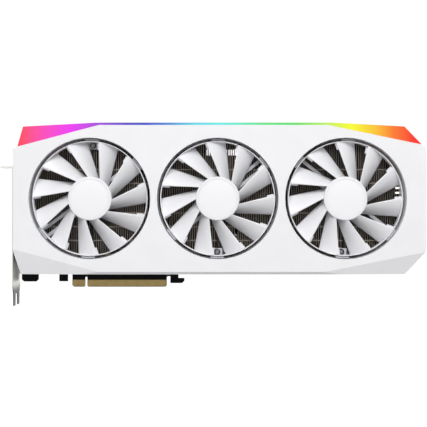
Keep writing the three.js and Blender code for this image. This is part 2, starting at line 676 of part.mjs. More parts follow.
function makeBackplate() {
  const outline = [
    [-92, 16], [241, 16], [257, 34], [257, 121], [240, 141], [-84, 141], [-92, 121],
  ];
  let body = prismY(outline, BACKPLATE.front, BACKPLATE.back);
  const half = BACKPLATE_WINDOW_HALF;
  body = body.subtract(box(GPU.x - half, GPU.x + half, 0, 9, GPU.z - half, GPU.z + half));
  // Slanting air slots past the end of the board.
  const { width, lean, bottom, top } = BACKPLATE_SLOTS;
  for (let i = 0; i < BACKPLATE_SLOTS.count; i += 1) {
    const x = BACKPLATE_SLOTS.firstX + BACKPLATE_SLOTS.pitch * i;
    const slot = [[x, bottom], [x + width, bottom], [x + width + lean, top], [x + lean, top]];
    body = body.subtract(prismY(slot, 0, 9));
  }
  // Wells that the screw heads sit in.
  for (const [x, z] of BACKPLATE_HOLES) body = body.subtract(disc(BACKPLATE_HOLE_R, 0, 9, x, z, 20));
  // Shallow slanting grooves that cross the plate.
  const groove = BACKPLATE_GROOVES;
  for (const x of groove.xs) {
    const strip = [
      [x, 10], [x + groove.width, 10], [x + groove.width + groove.lean, 150], [x + groove.lean, 150],
    ];
    body = body.subtract(prismY(strip, BACKPLATE.back - groove.depth, 9));
  }
  place('backplate', body, 'white');
  makeSpringPlate();
}

// Cross-shaped spring plate that pulls the cooler onto the GPU.
function makeSpringPlate() {
  const { front, back, half, reach, arm } = SPRING_PLATE;
  let spring = box(GPU.x - half, GPU.x + half, front, back, GPU.z - half, GPU.z + half);
  for (const side of [-1, 1]) {
    const strip = [
      [GPU.x - reach, GPU.z - side * (reach - arm)], [GPU.x - reach, GPU.z - side * reach],
      [GPU.x - reach + arm, GPU.z - side * reach], [GPU.x + reach, GPU.z + side * (reach - arm)],
      [GPU.x + reach, GPU.z + side * reach], [GPU.x + reach - arm, GPU.z + side * reach],
    ];
    spring = spring.add(prismY(strip, front, back));
  }
  place('spring_plate', spring, 'steel');
}

// ---------------------------------------------------------------- assembly

makeShroud();
makeLightBar();
FANS.forEach((fan, i) => {
  makeRotor(fan);
  makeFanFrame(fan);
  makeMotor(fan);
  makeCable(fan, HEADER_X[i]);
});
makeBoard();
makeChips();
makePowerSockets();
makeVideoSockets();
makeColdPlate();
makeFinStack('fin_stack_left', -84, 98);
makeFinStack('fin_stack_right', 98.9, 241);
makeHeatPipes();
makeBracket();
makeBackplate();

export default group;
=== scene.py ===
"""White graphics card with three fans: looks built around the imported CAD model.

Lengths are in millimetres, and MM turns them into the metres that Blender works in.
"""
import json
import math

import bmesh
import bpy
from mathutils import Matrix, Vector

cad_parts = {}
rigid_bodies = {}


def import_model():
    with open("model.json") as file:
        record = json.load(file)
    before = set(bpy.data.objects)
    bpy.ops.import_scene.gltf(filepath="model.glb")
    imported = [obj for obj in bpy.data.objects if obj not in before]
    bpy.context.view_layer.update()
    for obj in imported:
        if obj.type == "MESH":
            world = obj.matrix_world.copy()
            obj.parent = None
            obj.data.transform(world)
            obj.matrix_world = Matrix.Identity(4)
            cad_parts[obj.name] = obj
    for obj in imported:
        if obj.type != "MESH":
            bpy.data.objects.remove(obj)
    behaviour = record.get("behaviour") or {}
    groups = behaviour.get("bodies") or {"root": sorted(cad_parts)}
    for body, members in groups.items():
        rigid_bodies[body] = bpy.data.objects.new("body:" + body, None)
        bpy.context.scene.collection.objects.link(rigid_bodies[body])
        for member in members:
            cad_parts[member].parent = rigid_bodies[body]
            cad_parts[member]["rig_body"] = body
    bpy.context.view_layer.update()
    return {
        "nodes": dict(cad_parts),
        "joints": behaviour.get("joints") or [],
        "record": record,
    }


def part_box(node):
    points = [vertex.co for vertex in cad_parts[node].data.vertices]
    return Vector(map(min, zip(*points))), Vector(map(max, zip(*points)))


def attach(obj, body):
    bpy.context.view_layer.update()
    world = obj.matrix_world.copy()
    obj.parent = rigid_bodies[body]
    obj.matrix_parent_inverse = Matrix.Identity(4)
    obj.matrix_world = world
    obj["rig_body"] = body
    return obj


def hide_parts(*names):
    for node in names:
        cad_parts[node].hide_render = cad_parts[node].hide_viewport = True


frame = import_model()
NODES = frame["nodes"]
MM = 0.001
FANS = ["fan_1", "fan_2", "fan_3"]
FAN_CENTRE = {j["child"]: Vector(j["pos_m"]) for j in frame["joints"]}

# ------------------------------------------------------------------ driving values

# Camera: level and square on to the fans, as far off as the perspective asks.
CAMERA_AT = Vector((78.06, -1060, 66.1)) * MM
CAMERA_LENS = 98.9
FLOOR_DROP = 160

# Floor: its grey, and how far behind the card it brightens, in metres, and by how much.
FLOOR_GREY = 0.52
FLOOR_FADE = (0.04, 0.17)
FLOOR_GLOW = 0.85

# World: its strength beside the card and behind it.
WORLD_SIDE = 0.24
WORLD_BEHIND = 1.02

# Softboxes, in metres and watts: name, place, size and power. They all face LIGHTS_AIM.
LIGHTS_AIM = Vector((0.08, 0, 0.07))
SOFTBOXES = [
    ("key", Vector((0.1, -1.75, 1.3)), (1.6, 1.2), 39.5),
    ("back", Vector((0.4, 1.6, 1.2)), (1.4, 1.0), 2.5),
    ("top", Vector((0.1, 0.35, 1.5)), (1.4, 0.7), 8),
]

# Rotors: angles in degrees. BLADE_Y holds the leading and the trailing edge, BLADE_THICK the hub and
# the ring end, and the other pairs of Y run from front to back.
BLADE_TURN = {"fan_1": 15.5, "fan_2": 3.4, "fan_3": 1.2}
EAR_TURN = {"fan_1": 88, "fan_2": -90.5, "fan_3": -93}
BLADES = 11
BLADE_SWEEP = 18.5
ROOT_CHORD = 27.5
TIP_CHORD = 19.7
CAMBER = 0.16
BLADE_Y = (-51.2, -41.0)
BLADE_THICK = (1.7, 1.2)
RING_R = 49.5
RING_WALL = 0.8
RING_Y = (-50.9, -40.6)
HUB_R = 18.9
HUB_WALL = 1.4
HUB_Y = (-52.0, -39.6)
BOSS_R = 3.6
BORE_R = 1.6
CAP_R = 16.2
CAP_GAP = 0.04
CAP_ROUNDING = 0.06

# Winglets: small steps in front of the blades, near the ring. The span is a share of the blade.
WINGLET_SPAN = (0.80, 0.985)
WINGLET_Y = (-48.6, -47.4)
WINGLET_AHEAD = 1.3

# Screws that hold the fan frames by their ears.
SCREW_CIRCLE_R = 46.3
EAR_FRONT = -38.35

# Fin stacks: thin plates held together by rows of folded clips. Folded flanges close the back of the
# stack, and they are narrow between the two heights of FIN_OPEN. The plates' front and upper edges are
# painted lighter, a painted highlight to the depth set below. Three nylon clips sit on the right stack.
FIN_PITCH = 1.95
FIN_THICK = 0.45
FIN_CLIP_ROWS = [30, 42, 54, 66, 92, 104, 127, 133]
FIN_FLANGE = 0.5
FIN_OPEN = (117.4, 122.9)
FIN_HIGHLIGHT_DEPTH = 0.8
NYLON_CLIP_Z = [88.3, 84.1, 79.9]
NYLON_CLIP_R = 0.8

# Heat pipes: they run side by side over the GPU and spread out towards both ends.
PIPE_R = 3.0
PIPE_STATIONS = [-80, -50, -12, 22, 56, 100, 170, 238]

# Bracket: between these two heights painted shade fades out, and its metal goes from dark to bright.
BRACKET_SHADE_Z = (-3, 6)

# White nylon parts glow with painted light below NYLON_GLOW_TOP, and the glow ends NYLON_GLOW_FADE above
# it.
NYLON_GLOW_TOP = 123
NYLON_GLOW_FADE = 1.5

# Fan leads: four thin wires twisted together.
WIRE_R = 0.42
WIRE_OFFSET = 0.56
LEAD_FRONT_Y = -35.5
LEAD_LOW_Z = 19.6

# Board: half its thickness, bare under the contacts and lacquered elsewhere.
BOARD_HALF = 0.785
LACQUER_HALF = 0.8

# Contact pads: one per millimetre along both tongues. Each row is its left end and number of pads.
PAD_ROWS = [(-48.7, 11), (-35.3, 71)]
PAD_PITCH = 1.0
PAD_WIDTH = 0.72
PAD_LOW = 0.5
PAD_HIGH = 6.2
PAD_PROUD = 0.04

# Round capacitors: two columns of seven.
CAN_X = (136, 144)
CAN_LOW_Z = 42
CAN_PITCH = 9.5

# Screws seen from the back, as (x, z).
BACKPLATE_SCREWS = [
    (-82, 26), (-82, 128), (-30, 128), (-30, 26), (60, 128),
    (60, 26), (140, 128), (140, 26), (247, 50), (247, 108),
]
BRACKET_SCREWS = [(-93, 16.5), (-93, 100.5)]
BRACKET_EAR_BACK = 1.885
SPRING_SCREW_OFFSET = 21.5

# ------------------------------------------------------------------ colours


def srgb(red, green, blue):
    """A screen colour, 0 to 255, as linear values with alpha."""

    def linear(value):
        value /= 255
        return value / 12.92 if value <= 0.04045 else ((value + 0.055) / 1.055) ** 2.4

    return (linear(red), linear(green), linear(blue), 1.0)


WHITE_PLASTIC = srgb(240, 240, 242)
ROTOR_WHITE = srgb(238, 238, 241)
CAP_WHITE = srgb(244, 244, 246)
FRAME_GREY = srgb(196, 196, 202)
MASK_BLACK = srgb(8, 8, 9)
GOLD = srgb(243, 211, 141)
NYLON_WHITE = srgb(240, 240, 238)
FIN_HIGHLIGHT_METAL = srgb(158, 149, 139)
FIN_DARK_METAL = srgb(90, 84, 79)

# Light bar: place along X in millimetres, colour.
RAINBOW = [
    (-94, (255, 70, 84)),
    (-82, (255, 84, 128)),
    (-62, (250, 76, 206)),
    (-44, (240, 66, 246)),
    (-22, (168, 84, 222)),
    (2, (98, 82, 206)),
    (20, (76, 86, 202)),
    (40, (92, 144, 218)),
    (62, (104, 218, 232)),
    (84, (114, 238, 232)),
    (118, (108, 230, 148)),
    (150, (112, 228, 112)),
    (170, (178, 240, 104)),
    (196, (250, 252, 52)),
    (216, (253, 200, 56)),
    (232, (252, 128, 50)),
    (250, (255, 58, 50)),
]

# ------------------------------------------------------------------ material tools


class Nodes:
    """A short way to write one material's node tree."""

    def __init__(self, name):
        self.material = bpy.data.materials.new(name)
        self.material.use_nodes = True
        self.tree = self.material.node_tree
        self.shader = self.tree.nodes["Principled BSDF"]
        self.coords = self.tree.nodes.new("ShaderNodeTexCoord").outputs["Object"]

    def node(self, kind, **values):
        made = self.tree.nodes.new(kind)
        for key, value in values.items():
            if key in made.inputs:
                made.inputs[key].default_value = value
            else:
                setattr(made, key, value)
        return made

    def link(self, source, target):
        self.tree.links.new(source, target)

    def noise(self, scale, detail=3.0, stretch=(1, 1, 1)):
        """Noise with its cell size given by scale, in cells per metre."""
        mapping = self.node("ShaderNodeMapping")
        mapping.inputs["Scale"].default_value = stretch
        self.link(self.coords, mapping.inputs["Vector"])
        made = self.node("ShaderNodeTexNoise")
        made.inputs["Scale"].default_value = scale
        made.inputs["Detail"].default_value = detail
        self.link(mapping.outputs["Vector"], made.inputs["Vector"])
        return made.outputs["Fac"]

    def spread(self, source, low, high):
        """Maps the useful middle of a noise to low..high."""
        made = self.node("ShaderNodeMapRange")
        made.inputs["From Min"].default_value = 0.3
        made.inputs["From Max"].default_value = 0.7
        made.inputs["To Min"].default_value = low
        made.inputs["To Max"].default_value = high
        self.link(source, made.inputs["Value"])
        return made.outputs["Result"]

    def tint(self, source, dark, light):
        """Colour between dark and light, led by source."""
        made = self.node("ShaderNodeMix", data_type="RGBA")
        made.inputs[6].default_value = dark
        made.inputs[7].default_value = light
        self.link(source, made.inputs["Factor"])
        self.link(made.outputs[2], self.shader.inputs["Base Color"])

    def roughness(self, source, low, high):
        self.link(self.spread(source, low, high), self.shader.inputs["Roughness"])

    def bump(self, source, height_mm):
        made = self.node("ShaderNodeBump")
        made.inputs["Strength"].default_value = 1.0
        made.inputs["Distance"].default_value = height_mm * MM
        self.link(source, made.inputs["Height"])
        self.link(made.outputs["Normal"], self.shader.inputs["Normal"])

    def set(self, **values):
        for key, value in values.items():
            self.shader.inputs[key.replace("_", " ")].default_value = value


def shade(colour, factor):
    return (colour[0] * factor, colour[1] * factor, colour[2] * factor, 1.0)


def moulded(name, colour, roughness, grain_mm=0.22, grain_depth=0.012, uneven=0.03):
    """Moulded plastic: a fine spark-eroded grain, and a little unevenness in colour and gloss."""
    n = Nodes(name)
    broad = n.noise(38, detail=2)
    n.tint(n.spread(broad, 0, 1), shade(colour, 1 - uneven), colour)
    n.roughness(n.noise(220), roughness - 0.04, roughness + 0.05)
    n.bump(n.noise(1000 / grain_mm, detail=2), grain_depth)
    n.set(Specular_IOR_Level=0.45)
    return n.material


def metal(name, colour, roughness, brushed=(1, 1, 1)):
    """Metal with a directional finish: brushed stretches its grain along an axis."""
    n = Nodes(name)
    n.set(Metallic=1.0)
    n.tint(n.spread(n.noise(60), 0, 1), shade(colour, 0.88), colour)
    grain = n.noise(2600, detail=3, stretch=brushed)
    n.roughness(grain, roughness - 0.08, roughness + 0.1)
    n.bump(grain, 0.004)
    return n.material


def bracket_metal():
    """Satin nickel with fine upright scratches, darker towards the tongues with painted shade."""
    n = Nodes("bracket_steel")
    parts = n.node("ShaderNodeSeparateXYZ")
    n.link(n.coords, parts.inputs["Vector"])
    height = n.node("ShaderNodeMapRange", interpolation_type="SMOOTHSTEP")
    height.inputs["From Min"].default_value = BRACKET_SHADE_Z[0] * MM
    height.inputs["From Max"].default_value = BRACKET_SHADE_Z[1] * MM
    n.link(parts.outputs["Z"], height.inputs["Value"])
    # Painted shade: the metal is dark below these heights, where the tongues lie in shade.
    n.tint(height.outputs["Result"], srgb(74, 72, 68), srgb(240, 237, 231))
    grain = n.noise(2600, stretch=(1, 1, 0.12))
    n.roughness(grain, 0.34, 0.48)
    n.bump(grain, 0.004)
    n.set(Metallic=1.0)
    return n.material


def fin_metal():
    """Dark stamped fins. Their front and upper edges, which face the light, are painted brighter as a
    highlight.
    """
    low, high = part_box("fin_stack_left")
    n = Nodes("fins")
    parts = n.node("ShaderNodeSeparateXYZ")
    n.link(n.coords, parts.inputs["Vector"])
    depth = FIN_HIGHLIGHT_DEPTH * MM
    edge = n.node("ShaderNodeMath", operation="MAXIMUM")
    edges = [("Y", low.y + depth, low.y), ("Z", high.z - depth, high.z)]
    for i, (axis, dark_at, lit_at) in enumerate(edges):
        bare = n.node("ShaderNodeMapRange")
        bare.inputs["From Min"].default_value = dark_at
        bare.inputs["From Max"].default_value = lit_at
        n.link(parts.outputs[axis], bare.inputs["Value"])
        n.link(bare.outputs["Result"], edge.inputs[i])
    # Painted highlight: the front and upper edges are lighter, where the light falls on the fins.
    n.tint(edge.outputs["Value"], FIN_DARK_METAL, FIN_HIGHLIGHT_METAL)
    grain = n.noise(2600, stretch=(1, 1, 0.2))
    n.roughness(grain, 0.32, 0.5)
    n.bump(grain, 0.003)
    n.set(Metallic=1.0)
    return n.material


def nylon():
    """White nylon made to glow with painted light, so it looks lit in the shade of the fins and fans."""
    n = Nodes("socket_plastic")
    parts = n.node("ShaderNodeSeparateXYZ")
    n.link(n.coords, parts.inputs["Vector"])
    # Painted light: emission on the nylon below the glow height, where the fins and fans shade it.
    painted_glow = n.node("ShaderNodeMapRange", interpolation_type="SMOOTHSTEP")
    painted_glow.inputs["From Min"].default_value = (NYLON_GLOW_TOP + NYLON_GLOW_FADE) * MM
    painted_glow.inputs["From Max"].default_value = NYLON_GLOW_TOP * MM
    n.link(parts.outputs["Z"], painted_glow.inputs["Value"])
    n.link(painted_glow.outputs["Result"], n.shader.inputs["Emission Strength"])
    n.tint(n.spread(n.noise(38, detail=2), 0, 1), shade(NYLON_WHITE, 0.97), NYLON_WHITE)
    n.roughness(n.noise(220), 0.34, 0.43)
    n.bump(n.noise(4500, detail=2), 0.012)
    n.set(Emission_Color=(1, 1, 1, 1))
    return n.material


def plain(name, colour, roughness, metallic=0.0):
    """Small dark or bright parts: one colour with fine unevenness."""
    n = Nodes(name)
    n.set(Metallic=metallic)
    n.tint(n.spread(n.noise(300), 0, 1), shade(colour, 0.85), colour)
    n.roughness(n.noise(1500), roughness - 0.06, roughness + 0.08)
    n.bump(n.noise(1500, detail=2), 0.008)
    return n.material


def solder_mask():
    """Black board lacquer over copper. Gaps in the copper show as sunken lines, a shade lighter."""
    n = Nodes("solder_mask")
    cells = n.node("ShaderNodeTexVoronoi", feature="DISTANCE_TO_EDGE")
    cells.inputs["Scale"].default_value = 340
    n.link(n.coords, cells.inputs["Vector"])
    ramp = n.node("ShaderNodeMapRange")
    ramp.inputs["From Min"].default_value = 0.02
    ramp.inputs["From Max"].default_value = 0.07
    n.link(cells.outputs["Distance"], ramp.inputs["Value"])
    n.tint(ramp.outputs["Result"], shade(MASK_BLACK, 1.7), MASK_BLACK)
    n.roughness(n.noise(400), 0.28, 0.42)
    n.bump(ramp.outputs["Result"], 0.02)
    n.set(Specular_IOR_Level=0.12)
    return n.material


def gold_plate():
    n = Nodes("contact_gold")
    n.set(Metallic=1.0)
    n.tint(n.spread(n.noise(500), 0, 1), shade(GOLD, 0.92), GOLD)
    n.roughness(n.noise(1800, stretch=(1, 1, 0.15)), 0.3, 0.4)
    n.bump(n.noise(2400, stretch=(1, 1, 0.1)), 0.001)
    return n.material


def light_bar():
    """Lit diffuser: milky plastic that glows through the rainbow from one end to the other."""
    low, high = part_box("light_diffuser")
    n = Nodes("light_bar")
    parts = n.node("ShaderNodeSeparateXYZ")
    n.link(n.coords, parts.inputs["Vector"])
    along = n.node("ShaderNodeMapRange")
    along.inputs["From Min"].default_value = low.x
    along.inputs["From Max"].default_value = high.x
    n.link(parts.outputs["X"], along.inputs["Value"])
    ramp = n.node("ShaderNodeValToRGB")
    stops = ramp.color_ramp.elements
    while len(stops) < len(RAINBOW):
        stops.new(0.5)
    span = (high.x - low.x) / MM
    for stop, (x, colour) in zip(stops, RAINBOW):
        stop.position = (x - low.x / MM) / span
        stop.color = srgb(*colour)
    n.link(along.outputs["Result"], ramp.inputs["Fac"])
    n.link(ramp.outputs["Color"], n.shader.inputs["Emission Color"])
    n.link(n.spread(n.noise(120), 0.96, 1.0), n.shader.inputs["Emission Strength"])
    n.set(Base_Color=(0.005, 0.005, 0.005, 1), Roughness=0.45, Specular_IOR_Level=0.04)
    n.bump(n.noise(900, detail=2), 0.01)
    return n.material


def winding():
    """Enamelled copper wire, wound in fine turns."""
    n = Nodes("stator_winding")
    wave = n.node("ShaderNodeTexWave", bands_direction="Y")
    wave.inputs["Scale"].default_value = 900
    n.link(n.coords, wave.inputs["Vector"])
    n.set(Metallic=1.0)
    n.tint(wave.outputs["Fac"], srgb(120, 62, 34), srgb(206, 122, 74))
    n.roughness(wave.outputs["Fac"], 0.25, 0.4)
    n.bump(wave.outputs["Fac"], 0.08)
    return n.material


MATERIALS = {
    "shroud_white": moulded("shroud_white", WHITE_PLASTIC, 0.42),
    "backplate_white": moulded("backplate_white", shade(WHITE_PLASTIC, 0.97), 0.48, 0.16, 0.02),
    "light_diffuser": light_bar(),
    "small_board": plain("small_board", srgb(232, 232, 230), 0.4),
    "rotor_white": moulded("rotor_white", ROTOR_WHITE, 0.36, 0.2, 0.008),
    "hub_cap": moulded("hub_cap", CAP_WHITE, 0.34, 0.3, 0.004, 0.01),
    "fan_frame_grey": moulded("fan_frame_grey", FRAME_GREY, 0.5, 0.25, 0.014, 0.08),
    "bearing_brass": metal("bearing_brass", srgb(190, 160, 100), 0.3),
    "shaft_steel": metal("shaft_steel", srgb(190, 190, 192), 0.2, (1, 0.1, 1)),
    "magnet": plain("magnet", srgb(56, 56, 58), 0.6),
    "stator_winding": winding(),
    "cable_sleeve": plain("cable_sleeve", srgb(26, 26, 28), 0.55),
    "header_plastic": moulded("header_plastic", srgb(232, 229, 220), 0.4),
    "circuit_board": solder_mask(),
    "gpu_package": plain("gpu_package", srgb(24, 64, 48), 0.35),
    "gpu_die": plain("gpu_die", srgb(92, 96, 108), 0.12, 0.6),
    "chip_plastic": plain("chip_plastic", srgb(28, 28, 31), 0.5),
    "choke_body": plain("choke_body", srgb(66, 66, 70), 0.6, 0.2),
    "socket_plastic": nylon(),
    "socket_shell": metal("socket_shell", srgb(196, 196, 198), 0.26, (0.2, 1, 1)),
    "cold_plate": metal("cold_plate", srgb(206, 200, 194), 0.2, (0.1, 1, 1)),
    "plate_aluminium": metal("plate_aluminium", srgb(172, 172, 176), 0.45),
    "fins": fin_metal(),
    "heat_pipe": metal("heat_pipe", srgb(200, 194, 188), 0.24, (0.1, 1, 1)),
    "bracket_steel": bracket_metal(),
    "spring_steel": metal("spring_steel", srgb(172, 172, 176), 0.34, (0.3, 1, 1)),
}
GOLD_PLATE = gold_plate()
SCREW_BLACK = metal("screw_black", srgb(64, 64, 68), 0.36)
SCREW_STEEL = metal("screw_steel", srgb(190, 190, 192), 0.28)
TIN = metal("tinned_metal", srgb(208, 208, 206), 0.3)
CERAMIC = plain("ceramic_part", srgb(118, 92, 66), 0.5)

# ------------------------------------------------------------------ mesh tools


def smooth_by_angle(bm, degrees):
    for face in bm.faces:
        face.smooth = True
    for edge in bm.edges:
        if len(edge.link_faces) == 2:
            edge.smooth = edge.calc_face_angle(0) < math.radians(degrees)


def piece(name, bm, body, slot, material=None, stands_for=(), angle=32):
    """Turns a bmesh into an object that rides on a body and carries a material."""
    bmesh.ops.recalc_face_normals(bm, faces=bm.faces)
    smooth_by_angle(bm, angle)
    mesh = bpy.data.meshes.new(name)
    bm.to_mesh(mesh)
    bm.free()
    made = bpy.data.objects.new(name, mesh)
    bpy.context.scene.collection.objects.link(made)
    mesh.materials.append(material or MATERIALS[slot])
    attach(made, body)
    if stands_for:
        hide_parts(*stands_for)
    return made


def node_slot(node):
    for part in frame["record"]["subparts"]:
        if part["node"] == node:
            return part["material_slot"]
    raise KeyError(node)


def node_body(node):
    return NODES[node]["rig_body"]


def cad_copy(node):
    """The CAD node's surface with its flat faces whole again, ready to be rounded."""
    bm = bmesh.new()
    bm.from_mesh(NODES[node].data)
    bmesh.ops.remove_doubles(bm, verts=bm.verts, dist=0.002 * MM)
    bmesh.ops.dissolve_limit(
        bm,
        angle_limit=math.radians(0.6),
        verts=bm.verts,
        edges=bm.edges,
        use_dissolve_boundaries=False,
    )
    return bm


def round_edges(bm, width_mm, segments=2, sharper_than=24):
    sharp = math.radians(sharper_than)
    edges = [e for e in bm.edges if len(e.link_faces) == 2 and e.calc_face_angle(0) > sharp]
    bmesh.ops.bevel(
        bm,
        geom=edges,
        offset=width_mm * MM,
        offset_type="OFFSET",
        segments=segments,
        profile=0.5,
        affect="EDGES",
        clamp_overlap=True,
    )


def weigh_normals(made):
    """Large faces keep their own normals, so rounded edges catch the light and flats stay flat."""
    modifier = made.modifiers.new("weighted", "WEIGHTED_NORMAL")
    modifier.keep_sharp = True
    modifier.weight = 80


def refined(node, width_mm, segments=2, sharper_than=24, angle=48):
    """Stands for a CAD node: the same solid with its edges rounded."""
    bm = cad_copy(node)
    round_edges(bm, width_mm, segments, sharper_than)
    made = piece(node + "_body", bm, node_body(node), node_slot(node), stands_for=[node], angle=angle)
    weigh_normals(made)


def add_box(bm, low, high):
    """Box between two corners, in millimetres."""
    centre = [(a + b) / 2 * MM for a, b in zip(low, high)]
    size = [(b - a) * MM for a, b in zip(low, high)]
    matrix = Matrix.Translation(centre) @ Matrix.Diagonal((*size, 1))
    bmesh.ops.create_cube(bm, size=1, matrix=matrix)


def add_turned(bm, profile, centre, segments=64):
    """Closed profile of (radius, y) in millimetres turned about the Y axis through centre (x, z)."""
    rings = []
    for radius, y in profile:
        if radius == 0:
            rings.append([bm.verts.new(Vector((centre[0], y, centre[1])) * MM)])
            continue
        ring = []
        for i in range(segments):
            angle = 2 * math.pi * i / segments
            x, z = centre[0] + radius * math.cos(angle), centre[1] + radius * math.sin(angle)
            ring.append(bm.verts.new(Vector((x, y, z)) * MM))
        rings.append(ring)
    pairs = list(zip(rings, rings[1:]))
    if profile[0][0] != 0:
        pairs.append((rings[-1], rings[0]))
    for a, b in pairs:
        for i in range(segments):
            j = (i + 1) % segments
            corners = [a[i % len(a)], a[j % len(a)], b[j % len(b)], b[i % len(b)]]
            unique = list(dict.fromkeys(corners))
            if len(unique) > 2:
                bm.faces.new(unique)


def rounded_corner(centre, radius, start, end, steps=4):
    """Points of an arc, for a profile."""
    points = []
    for i in range(steps + 1):
        angle = math.radians(start + (end - start) * i / steps)
        points.append((centre[0] + radius * math.cos(angle), centre[1] + radius * math.sin(angle)))
    return points


def join_rings(bm, rings):
    """Skin over a row of rings with the same number of points, closed at both ends."""
    for a, b in zip(rings, rings[1:]):
        for k in range(len(a)):
            j = (k + 1) % len(a)
            bm.faces.new([a[k], a[j], b[j], b[k]])
    bm.faces.new(rings[0])
    bm.faces.new(rings[-1])


def frames_along(path):
    """For each point of a path: the point and two directions across the path that never twist."""
    side = Vector((0, 0, 1))
    for i, point in enumerate(path):
        ahead = (path[min(i + 1, len(path) - 1)] - path[max(i - 1, 0)]).normalized()
        if abs(ahead.dot(side)) > 0.95:
            side = Vector((1, 0, 0))
        side = (side - ahead * side.dot(ahead)).normalized()
        yield point, side, ahead.cross(side)


def add_tube(bm, path, radius, sides=14):
    """Round tube with domed ends along a list of points in millimetres."""
    ahead, back = (path[1] - path[0]).normalized(), (path[-2] - path[-1]).normalized()
    head = [path[0], path[0] + ahead * 0.3 * radius]
    tail = [path[-1] + back * 0.3 * radius, path[-1]]
    inner = path[1:-1]
    scales = [0.45, 0.86, *[1.0] * len(inner), 0.86, 0.45]
    rings = []
    for (point, across, up), scale in zip(frames_along([*head, *inner, *tail]), scales):
        ring = []
        for k in range(sides):
            angle = 2 * math.pi * k / sides
            reach = (across * math.cos(angle) + up * math.sin(angle)) * radius * scale
            ring.append(bm.verts.new((point + reach) * MM))
        rings.append(ring)
    join_rings(bm, rings)


def smooth_path(points, steps=8):
    """Centripetal Catmull-Rom curve through points in millimetres."""
    points = [Vector(p) for p in points]
    padded = [2 * points[0] - points[1], *points, 2 * points[-1] - points[-2]]
    path = []
    for p0, p1, p2, p3 in zip(padded, padded[1:], padded[2:], padded[3:]):
        t0 = 0.0
        t1 = t0 + (p1 - p0).length ** 0.5
        t2 = t1 + (p2 - p1).length ** 0.5
        t3 = t2 + (p3 - p2).length ** 0.5
        for i in range(steps):
            t = t1 + (t2 - t1) * i / steps
            a1 = p0.lerp(p1, (t - t0) / (t1 - t0))
            a2 = p1.lerp(p2, (t - t1) / (t2 - t1))
            a3 = p2.lerp(p3, (t - t2) / (t3 - t2))
            b1 = a1.lerp(a2, (t - t0) / (t2 - t0))
            b2 = a2.lerp(a3, (t - t1) / (t3 - t1))
            path.append(b1.lerp(b2, (t - t1) / (t2 - t1)))
    path.append(points[-1])
    return path


# ------------------------------------------------------------------ rotors


def polar(radius, degrees):
    return Vector((radius * math.cos(math.radians(degrees)), 0, radius * math.sin(math.radians(degrees))))


def blade_edges(turn, u):
    """Where a blade's straight leading and trailing edges are at u, 0 at the hub and 1 at the ring."""
    root, tip = HUB_R - 0.5, RING_R - 0.5
    lead = polar(root, turn - BLADE_SWEEP).lerp(polar(tip, turn), u)
    trail = polar(root, turn - BLADE_SWEEP - ROOT_CHORD).lerp(polar(tip, turn - TIP_CHORD), u)
    return lead, trail


def blade_section(bm, u, turn):
    """One closed section of a blade, cut along an arc about the shaft."""
    lead, trail = blade_edges(turn, u)
    lead_y, trail_y = BLADE_Y
    thick = BLADE_THICK[0] + (BLADE_THICK[1] - BLADE_THICK[0]) * u
    start, end = math.atan2(lead.z, lead.x), math.atan2(trail.z, trail.x)
    sweep = (end - start + math.pi) % (2 * math.pi) - math.pi
    steps = 12
    front, back = [], []
    for i in range(steps + 1):
        s = i / steps
        # Thickness grows quickly behind the rounded leading edge and thins to the trailing edge.
        half = thick / 2 * min(1.0, math.sqrt(s / 0.08)) * (1 - 0.62 * s) + 0.02
        y = lead_y + (trail_y - lead_y) * (s - CAMBER * math.sin(math.pi * s))
        radius = lead.length + (trail.length - lead.length) * s
        angle = start + sweep * s
        for line, side in ((front, -1), (back, 1)):
            tilt = side * half / radius * 0.49
            turned = angle - tilt
            at = Vector((radius * math.cos(turned), y + side * half, radius * math.sin(turned)))
            line.append(bm.verts.new(at * MM))
    return front + back[::-1]


def add_blade(bm, turn):
    spans = 14
    sections = [blade_section(bm, i / spans, turn) for i in range(spans + 1)]
    for a, b in zip(sections, sections[1:]):
        count = len(a)
        for k in range(count):
            bm.faces.new([a[k], a[(k + 1) % count], b[(k + 1) % count], b[k]])
    bm.faces.new(sections[0])
    bm.faces.new(sections[-1])


def add_winglet(bm, turn):
    """Small step ahead of the leading edge where the blade meets the ring."""
    inner, outer = (blade_edges(turn, u)[0] for u in WINGLET_SPAN)
    along = (outer - inner).normalized()
    ahead = Vector((-along.z, 0, along.x)) * WINGLET_AHEAD
    back = ahead * -1.6
    corners = [inner + back, inner + ahead, outer + ahead, outer + back]
    low, high = ([bm.verts.new((corner + Vector((0, y, 0))) * MM) for corner in corners] for y in WINGLET_Y)
    bm.faces.new(low)
    bm.faces.new(high)
    for i in range(len(low)):
        j = (i + 1) % len(low)
        bm.faces.new([low[i], low[j], high[j], high[i]])


def hub_profile():
    """Cup that opens to the back, with a seat for the cap in front and a boss for the shaft inside."""
    outer, inner = HUB_R, HUB_R - HUB_WALL
    front, back = HUB_Y
    seat, floor, boss_end, bore_end = front + 0.8, front + 2.4, front + 4.4, front + 2
    return [
        (0, seat),
        (CAP_R, seat),
        *rounded_corner((CAP_R + CAP_ROUNDING, front + CAP_ROUNDING), CAP_ROUNDING, 180, 270, 3),
        *rounded_corner((outer - 1.1, front + 1.1), 1.1, 270, 360, 6),
        (outer, back - 0.3),
        (outer - 0.3, back),
        (inner, back),
        (inner, floor),
        (BOSS_R, floor),
        (BOSS_R, boss_end),
        (BORE_R, boss_end),
        (BORE_R, bore_end),
        (0, bore_end),
    ]


def ring_profile():
    """Thin band with a rounded front edge."""
    outer, inner, rounding = RING_R, RING_R - RING_WALL, RING_WALL / 2
    front, back = RING_Y
    return [
        *rounded_corner((outer - rounding, front + rounding), rounding, 180, 360, 6),
        (outer, back - 0.3),
        (outer - 0.2, back),
        (inner + 0.2, back),
        (inner, back - 0.3),
    ]


